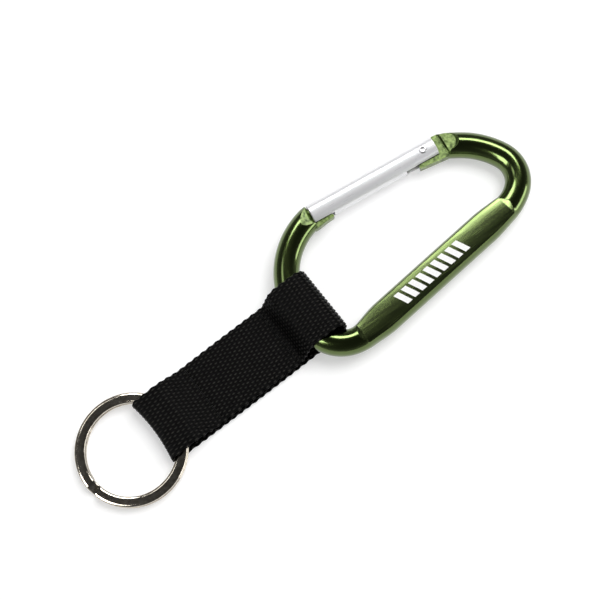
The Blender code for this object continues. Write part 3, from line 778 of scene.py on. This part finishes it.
def belt(name, line, material, side_shift, dips=(), fold=None, calm=None):
    """One layer of webbing along a line in X and Z, with the weave raised on both faces.

    side_shift moves its two ends sideways, and dips are the seams' places on its outer face. fold
    gives the points' moves along X, and calm gives the weave's strength along the line.
    """
    rows, columns = len(line), WARP_BUNDLES * COLUMNS_PER_BUNDLE + 1
    distance = distances_along(line)
    length = distance[-1]
    period = length / max(1, round(length / WEAVE_PERIOD))
    normal = outward_normals(line)
    lies_flat = np.abs(normal[:, 1]) > 0.9
    grid_s, grid_v = np.meshgrid(distance, np.linspace(0, 1, columns), indexing="ij")
    beyond = np.clip((np.abs(grid_v * 2 - 1) - (1 - EDGE_SHARE)) / EDGE_SHARE, 0, 1)
    thinning = np.sqrt(1 - EDGE_THINNING * beyond**2)
    scallop = SCALLOP * (1 - np.cos(2 * math.pi * grid_s / period + (grid_v > 0.5) * math.pi))
    shift = mix(side_shift[0], side_shift[1], smoothstep(distance / length))
    y = (grid_v * 2 - 1) * (WEB_WIDTH / 2 - scallop) + shift[:, None]
    strength = calm(line)[:, None] if calm else 1.0
    layers, heights = [], []
    for face in (1, -1):
        height = weave(grid_s, grid_v, period, face)
        raised = (height - 1) * WEAVE_DEPTH * strength
        thick = (WEB_THICKNESS / 2 - SKIN_GAP + raised) * thinning
        if face > 0:
            for seam_x in dips:
                near = np.exp(-(((line[:, 0] - seam_x) / SEAM_DIP_HALF_WIDTH) ** 2))
                thick = thick - (SEAM_DIP_DEPTH * near * lies_flat)[:, None]
        x = line[:, 0, None] + face * normal[:, 0, None] * thick
        z = line[:, 1, None] + face * normal[:, 1, None] * thick
        layers.append(np.stack([x, y, z], axis=2).reshape(-1, 3))
        heights.append(height.ravel())
    vertices = np.concatenate(layers)
    if fold:
        vertices[:, 0] += fold(vertices)
    mesh = mesh_of(name, vertices.tolist(), belt_faces(rows, columns), sharp=math.radians(80))
    carried = mesh.attributes.new("yarn_height", "FLOAT", "POINT")
    carried.data.foreach_set("value", np.concatenate(heights).astype(np.float32))
    add_uv(mesh, np.concatenate([grid_s.ravel()] * 2), np.concatenate([y.ravel()] * 2))
    return add_object(name, mesh, [material], DRAWING), float(length)


def belt_faces(rows, columns):
    """The faces of two layers of rows and columns, joined along all four edges."""

    def at(layer, row, column):
        return (layer * rows + row) * columns + column

    faces = []
    for row in range(rows - 1):
        for column in range(columns - 1):
            for layer in (0, 1):
                quad = [(row, column), (row, column + 1), (row + 1, column + 1), (row + 1, column)]
                faces.append(tuple(at(layer, r, c) for r, c in (quad if layer else reversed(quad))))
        for column in (0, columns - 1):
            edge = ((0, row), (0, row + 1), (1, row + 1), (1, row))
            faces.append(tuple(at(layer, r, column) for layer, r in edge))
    for column in range(columns - 1):
        for row in (0, rows - 1):
            edge = ((0, column), (0, column + 1), (1, column + 1), (1, column))
            faces.append(tuple(at(layer, row, c) for layer, c in edge))
    return faces


def add_uv(mesh, along, across):
    """Lays the yarns' own coordinates, in millimetres, on the mesh."""
    layer = mesh.uv_layers.new(name="yarn")
    corners = np.empty(len(mesh.loops), np.int32)
    mesh.loops.foreach_get("vertex_index", corners)
    pairs = np.stack([along[corners], across[corners]], axis=1) / MM
    layer.data.foreach_set("uv", pairs.astype(np.float32).ravel())


def carabiner_end_line():
    """Bottom layer out to the carabiner, round its rod and back along the top."""
    points = [(MID_X, LAYER_LOW), (63.9, LAYER_LOW)]
    points += arc((63.9, 4.4), 3.8, -90, 0, 16)
    points += arc((63.9, 6.9), 3.8, 0, 90, 16)
    points += arc((59.65, 5.65), 5.05, 90, 146, 14)
    points += [(53.2, 3.7), (52.5, 3.15), (51.6, LAYER_TOP), (MID_X, LAYER_TOP)]
    return webbing_line(points, 6)


def ring_end_line():
    """Bottom layer out to the split ring, round its wire and back along the top."""
    points = [(MID_X, LAYER_LOW), (10.6, LAYER_LOW)]
    points += arc((10.6, 2.1), 1.5, 270, 180, 8)
    points += arc((10.6, 4.15), 1.5, 180, 90, 8)
    points += [(16.6, 5.65), (19.2, 4.6), (22.4, 3.15), (24.0, LAYER_TOP), (MID_X, LAYER_TOP)]
    return webbing_line(points, 6)


def ring_fold(vertices):
    """How far the fold reaches out along -X: it follows a curve, and its corners reach furthest."""
    middle, corners, start_x, run = 0.45 * MM, 1.0 * MM, 17 * MM, 6.5 * MM
    bow = -middle - corners * (vertices[:, 1] / (WEB_WIDTH / 2)) ** 2
    return bow * smoothstep((start_x - vertices[:, 0]) / run)


def ring_fold_calm(line):
    """The weave is pulled smooth where it turns round the wire."""
    least, start_x, run = 0.45, 9.6 * MM, 1.6 * MM
    return mix(least, 1.0, np.clip((line[:, 0] - start_x) / run, 0, 1))


def build_strap(material):
    """The webbing in two halves that meet at mid-strap, and the layer hidden between them."""
    shifts, seams = (-0.35 * MM, 0.1 * MM), (SEAM_RING_X, SEAM_CARABINER_X)

    line = carabiner_end_line()
    right, length = belt("webbing_loop_carabiner", line, material, shifts, seams)
    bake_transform(right)
    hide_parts("webbing_carabiner_loop", "webbing_sewn_middle")

    line = ring_end_line()
    left, length = belt(
        "webbing_loop_ring", line, material, shifts, seams, ring_fold, ring_fold_calm
    )
    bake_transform(left)
    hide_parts("webbing_ring_loop")

    line = webbing_line([(24.2, LAYER_MIDDLE), (51.9, LAYER_MIDDLE)], 0)
    middle, length = belt("webbing_inner_layer", line, material, (-0.2 * MM, 0.25 * MM))
    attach(middle, "strap")


def thread_mesh(name):
    """A row of lockstitches of two-ply thread along Y, diving into the webbing at each hole."""
    rise, dive, ply_depth, ply_length = 0.1 * MM, 0.55 * MM, 0.2, 0.19 * MM
    steps, sides = STITCHES * 22, 14
    rings = []
    for i in range(steps + 1):
        y = (i / steps - 0.5) * STITCHES * STITCH_LENGTH
        near_hole = abs(math.cos(math.pi * STITCHES * i / steps)) ** 10
        z = rise - dive * near_hole
        ring = []
        for j in range(sides):
            angle = 2 * math.pi * j / sides
            radius = THREAD_RADIUS * (1 - ply_depth * math.cos(angle - y / ply_length) ** 4)
            ring.append((radius * math.cos(angle), y, radius * math.sin(angle) + z))
        rings.append(ring)
    return tube_mesh(name, rings, sharp=math.radians(70))


def build_threads(material):
    for x, seam in ((SEAM_RING_X, "ring_seam"), (SEAM_CARABINER_X, "carabiner_seam")):
        for side, z, turn in (("needle", NEEDLE_Z, 0.0), ("bobbin", BOBBIN_Z, math.pi)):
            axes = DRAWING @ Matrix.Translation((x, 0, z)) @ Matrix.Rotation(turn, 4, "Y")
            name = f"{seam}_{side}_stitches"
            thread = add_object(name, thread_mesh(name), [material], axes)
            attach(thread, "strap")
            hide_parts(f"{seam}_{side}_thread")


# --- floor, light and camera ---

# The directions on the floor that point right and up in the camera's picture.
IMAGE_RIGHT = Vector((0.7963, -0.6049, 0))
IMAGE_UP = Vector((0.6049, 0.7963, 0))

# Lamps: name, azimuth and elevation in degrees, width, height and radiance.
CARD_DISTANCE, FILL_DISTANCE = 1.2, 1.5
CARDS = (
    ("back_card", 0, 51, 1.04, 0.36, 9.0),
    ("right_low_card", 102, 8, 0.92, 0.36, 4.5),
    ("left_card", 240, 46, 0.60, 0.62, 8.0),
    ("overhead_card", 298, 54, 0.26, 0.26, 2.2),
)
FILLS = (
    ("main_fill", 48, 58, 1.1, 1.1, 6.4),
    ("left_fill", 230, 60, 2.0, 2.0, 0.7),
)

# The world's brightness, as (position, value), from the horizon at 0 to overhead at 1.
WORLD_STOPS = ((0.0, 0.30), (0.12, 0.22), (0.40, 0.08), (0.75, 0.05), (1.0, 0.04))


def build_floor():
    """A white light table: its own glow keeps the shadows pale and soft."""
    size = 3.0
    corners = [(-size, -size, 0), (size, -size, 0), (size, size, 0), (-size, size, 0)]
    mesh = bpy.data.meshes.new("floor")
    mesh.from_pydata(corners, [], [(0, 1, 2, 3)])
    table = finish(
        "white_light_table", (0.60, 0.60, 0.60), (0.63, 0.63, 0.63), (0.8, 0.9),
        tone_scale=3, grain_scale=900, bump=0.05, depth=0.01 * MM, Specular_IOR_Level=0.1,
        Emission_Color=(1, 1, 1, 1), Emission_Strength=0.44,
    )
    add_object("floor", mesh, [table])


def soft_box(lamp_row, distance):
    """A rectangular light aimed at the object. Azimuth turns from image up towards image right."""
    name, azimuth, elevation, width, height, radiance = lamp_row
    azimuth, elevation = math.radians(azimuth), math.radians(elevation)
    level = IMAGE_UP * math.cos(azimuth) + IMAGE_RIGHT * math.sin(azimuth)
    direction = level * math.cos(elevation) + Vector((0, 0, math.sin(elevation)))
    lamp = bpy.data.lights.new(name, "AREA")
    lamp.shape = "RECTANGLE"
    lamp.size, lamp.size_y = width, height
    lamp.energy = radiance * math.pi * width * height
    item = bpy.data.objects.new(name, lamp)
    bpy.context.scene.collection.objects.link(item)
    sideways = direction.cross(Vector((0, 0, 1))).normalized()
    upward = sideways.cross(direction).normalized()
    turn = Matrix((sideways * -1, upward, direction)).transposed().to_4x4()
    item.matrix_world = Matrix.Translation(direction * distance) @ turn
    return item


def build_lamps():
    """Cards that only show as reflections, and wide fills that only light the matt surfaces."""
    for lamp_row in CARDS:
        soft_box(lamp_row, CARD_DISTANCE).visible_diffuse = False
    for lamp_row in FILLS:
        soft_box(lamp_row, FILL_DISTANCE).visible_glossy = False


def build_world():
    world = bpy.data.worlds.new("studio")
    bpy.context.scene.world = world
    world.use_nodes = True
    tree = world.node_tree
    source = tree.nodes.new("ShaderNodeTexCoord")
    parts = tree.nodes.new("ShaderNodeSeparateXYZ")
    ramp = tree.nodes.new("ShaderNodeValToRGB")
    stops = ramp.color_ramp.elements
    while len(stops) < len(WORLD_STOPS):
        stops.new(0.5)
    for stop, (position, value) in zip(stops, WORLD_STOPS):
        stop.position = position
        stop.color = (value, value, value, 1)
    link(tree, source, "Generated", parts, "Vector")
    link(tree, parts, "Z", ramp, "Fac")
    link(tree, ramp, "Color", tree.nodes["Background"], "Color")
    bpy.context.scene.view_settings.view_transform = "Standard"


def build_camera():
    """The camera looks down steeply at a point near the middle of the object."""
    low, high = cad_box
    middle_z = (low.z + high.z) / 2 - 1.1 * MM
    location = Vector((-37.39 * MM, -112.63 * MM, 402.3 * MM + middle_z))
    target = Vector((1.53 * MM, 1.59 * MM, middle_z))
    forward = (target - location).normalized()
    sideways = forward.cross(IMAGE_UP).normalized()
    upward = sideways.cross(forward)
    data = bpy.data.cameras.new("camera")
    data.type = "PERSP"
    data.sensor_width, data.lens = 36.0, 89.9
    data.clip_start, data.clip_end = 0.01, 20.0
    camera = bpy.data.objects.new("camera", data)
    bpy.context.scene.collection.objects.link(camera)
    turn = Matrix((sideways, upward, -forward)).transposed().to_4x4()
    camera.matrix_world = Matrix.Translation(location) @ turn
    bpy.context.scene.camera = camera


materials = make_materials()
build_frame([materials["green"], materials["pressed"], materials["milled"]])
build_print(materials["ink"])
build_gate(materials["silver"])
build_rivet(materials["rivet"])
build_spring(materials["spring"])
build_plunger(materials["nylon"])
build_ring(materials["nickel"])
build_strap(materials["webbing"])
build_threads(materials["thread"])
build_floor()
build_lamps()
build_world()
build_camera()
